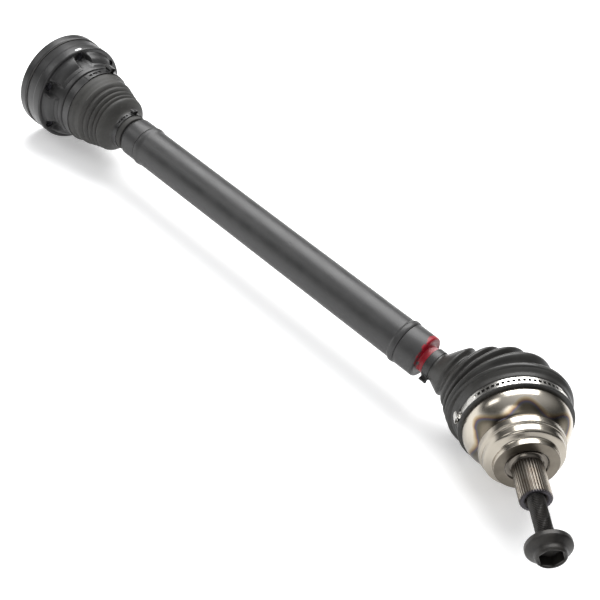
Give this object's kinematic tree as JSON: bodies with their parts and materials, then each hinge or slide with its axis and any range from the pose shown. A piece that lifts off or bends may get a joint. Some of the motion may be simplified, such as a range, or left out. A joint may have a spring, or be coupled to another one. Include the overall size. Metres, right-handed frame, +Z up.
{
  "type": "cv axle",
  "caption": "Car drive shaft: a tube between a bolted plunging joint and a fixed joint with splined stub, with rubber boots, clamps and axle bolt.",
  "frame": {"origin": "centre of the gearbox face, on the flat middle of the inner joint's end cap", "axes": "+X along the shaft from the gearbox face to the wheel end, +Z up, the outer joint bent in the XY plane towards -Y"},
  "size_m": [0.6847, 0.1556, 0.1012],
  "materials": {
    "tube_paint": "satin black paint over steel, with a red-painted shank at the wheel end",
    "joint_black": "satin black coating on steel",
    "polished_steel": "turned and polished bare steel with heat tint",
    "dark_steel": "hardened steel under grease",
    "ball_steel": "polished bearing steel",
    "spring_steel": "blued spring steel",
    "boot_rubber": "matte black rubber",
    "boot_plastic": "satin black thermoplastic",
    "clamp_black": "black coated steel band",
    "stainless": "bright stainless band",
    "bolt_black": "black phosphate on steel"
  },
  "bodies": {
    "shaft": {"shaft_tube": "tube_paint", "inner_stub_shaft": "tube_paint", "outer_stub_shaft": "tube_paint", "inner_race": "dark_steel", "inner_circlip": "spring_steel", "outer_race": "dark_steel", "outer_circlip": "spring_steel", "outer_dished_washer": "spring_steel", "outer_thrust_ring": "boot_plastic", "inner_small_clamp": "clamp_black", "outer_small_clamp": "clamp_black"},
    "outer_cage_set": {"outer_cage": "dark_steel", "outer_ball_1": "ball_steel", "outer_ball_2": "ball_steel", "outer_ball_3": "ball_steel", "outer_ball_4": "ball_steel", "outer_ball_5": "ball_steel", "outer_ball_6": "ball_steel"},
    "outer_boot_fold": {"outer_boot": "boot_plastic"},
    "wheel_stub": {"outer_housing": "polished_steel", "outer_large_clamp": "stainless"},
    "wheel_bolt": {"axle_bolt": "bolt_black"},
    "inner_boot_fold": {"inner_boot": "boot_rubber"},
    "inner_cage_set": {"inner_cage": "dark_steel", "inner_ball_1": "ball_steel", "inner_ball_2": "ball_steel", "inner_ball_3": "ball_steel", "inner_ball_4": "ball_steel", "inner_ball_5": "ball_steel", "inner_ball_6": "ball_steel"},
    "gearbox_flange": {"inner_end_cap": "joint_black", "inner_gasket": "boot_rubber", "inner_outer_race": "joint_black", "inner_boot_flange": "joint_black", "inner_large_clamp": "clamp_black"}
  },
  "joints": [
    {"name": "outer_bend", "type": "hinge", "parent": "shaft", "child": "outer_boot_fold", "pos_m": [0.5851, 0, 0], "axis": [0, 0, 1], "range_deg": [-2, 88], "deforming": ["outer_boot"]},
    {"name": "outer_half_bend", "type": "hinge", "parent": "shaft", "child": "outer_cage_set", "pos_m": [0.5851, 0, 0], "axis": [0, 0, 1], "range_deg": [-1, 44]},
    {"name": "outer_tilt", "type": "hinge", "parent": "outer_boot_fold", "child": "wheel_stub", "pos_m": [0.5851, 0, 0], "axis": [0.6934, 0.7206, 0], "range_deg": [-15, 15], "deforming": ["outer_boot"]},
    {"name": "bolt_travel", "type": "slide", "parent": "wheel_stub", "child": "wheel_bolt", "axis": [0.7206, -0.6934, 0], "range_m": [-0.0215, 0.018]},
    {"name": "inner_swing", "type": "hinge", "parent": "shaft", "child": "inner_boot_fold", "pos_m": [0.021, 0, 0], "axis": [0, 0, 1], "range_deg": [-14, 14], "deforming": ["inner_boot"]},
    {"name": "inner_nod", "type": "hinge", "parent": "inner_boot_fold", "child": "inner_cage_set", "pos_m": [0.021, 0, 0], "axis": [0, 1, 0], "range_deg": [-14, 14], "deforming": ["inner_boot"]},
    {"name": "inner_plunge", "type": "slide", "parent": "inner_cage_set", "child": "gearbox_flange", "axis": [1, 0, 0], "range_m": [-0.005, 0.0045], "deforming": ["inner_boot"]}
  ],
  "couplings": [
    {"joint": "outer_half_bend", "follows": "outer_bend", "ratio": 0.5}
  ]
}
